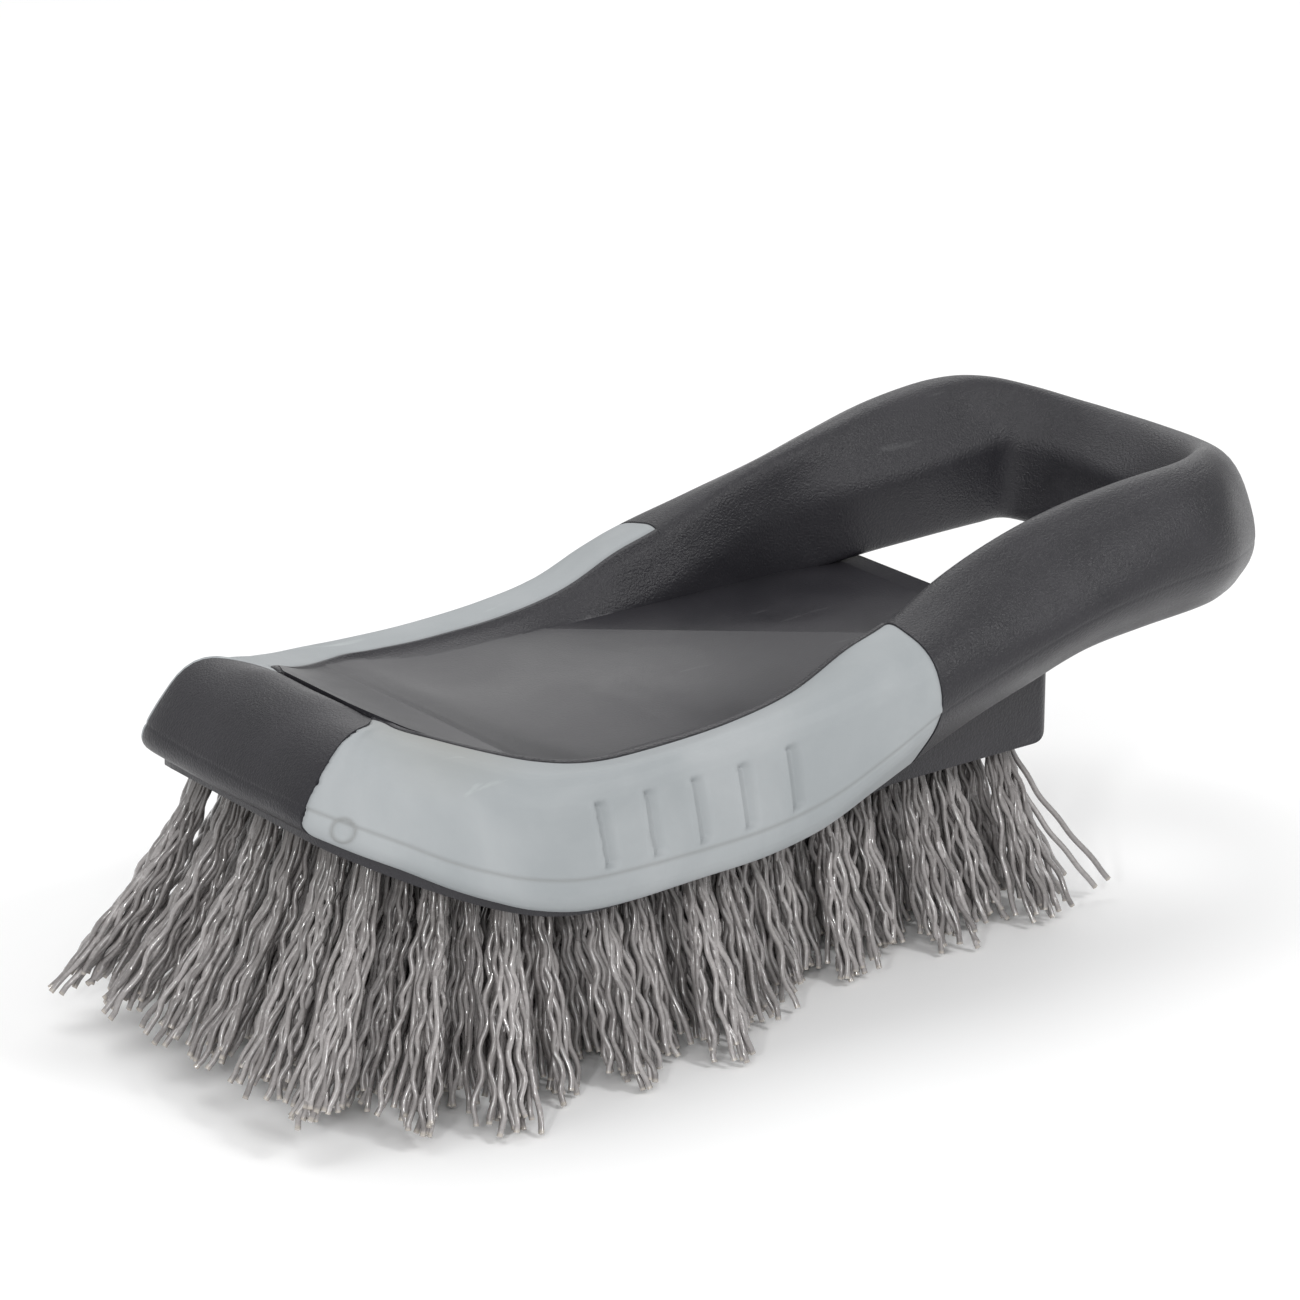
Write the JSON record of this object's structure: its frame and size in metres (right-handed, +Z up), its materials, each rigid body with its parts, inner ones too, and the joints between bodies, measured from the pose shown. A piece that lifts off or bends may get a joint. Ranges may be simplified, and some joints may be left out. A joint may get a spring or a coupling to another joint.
{
  "type": "wheel brush",
  "caption": "Hand-held wheel brush: a moulded body with an upturned nose and a loop handle, soft flank grips and rows of crimped bristle tufts anchored in its underside.",
  "frame": {"origin": "middle of the brush, front tufts included, on the surface the tuft tips stand on", "axes": "+X from the nose towards the loop handle, +Y towards the left grip, +Z up out of the deck"},
  "size_m": [0.2106, 0.095, 0.0742],
  "materials": {
    "body_plastic": "fine spark-eroded grain, satin matte",
    "grip_rubber": "smooth matte soft-touch rubber, lightly scuffed",
    "bristle": "crimped translucent filament with a soft gloss",
    "anchor_metal": "drawn flat wire"
  },
  "bodies": {
    "root": {"body": "body_plastic", "left_grip": "grip_rubber", "right_grip": "grip_rubber", "tuft_row_01": "bristle", "tuft_row_02": "bristle", "tuft_row_03": "bristle", "tuft_row_04": "bristle", "tuft_row_05": "bristle", "tuft_row_06": "bristle", "tuft_row_07": "bristle", "tuft_row_08": "bristle", "tuft_row_09": "bristle", "tuft_row_10": "bristle", "tuft_row_11": "bristle", "tuft_row_12": "bristle", "tuft_row_13": "bristle", "tuft_row_14": "bristle", "tuft_row_15": "bristle", "anchor_row_01": "anchor_metal", "anchor_row_02": "anchor_metal", "anchor_row_03": "anchor_metal", "anchor_row_04": "anchor_metal", "anchor_row_05": "anchor_metal", "anchor_row_06": "anchor_metal", "anchor_row_07": "anchor_metal", "anchor_row_08": "anchor_metal", "anchor_row_09": "anchor_metal", "anchor_row_10": "anchor_metal", "anchor_row_11": "anchor_metal", "anchor_row_12": "anchor_metal", "anchor_row_13": "anchor_metal", "anchor_row_14": "anchor_metal", "anchor_row_15": "anchor_metal"}
  },
  "joints": []
}
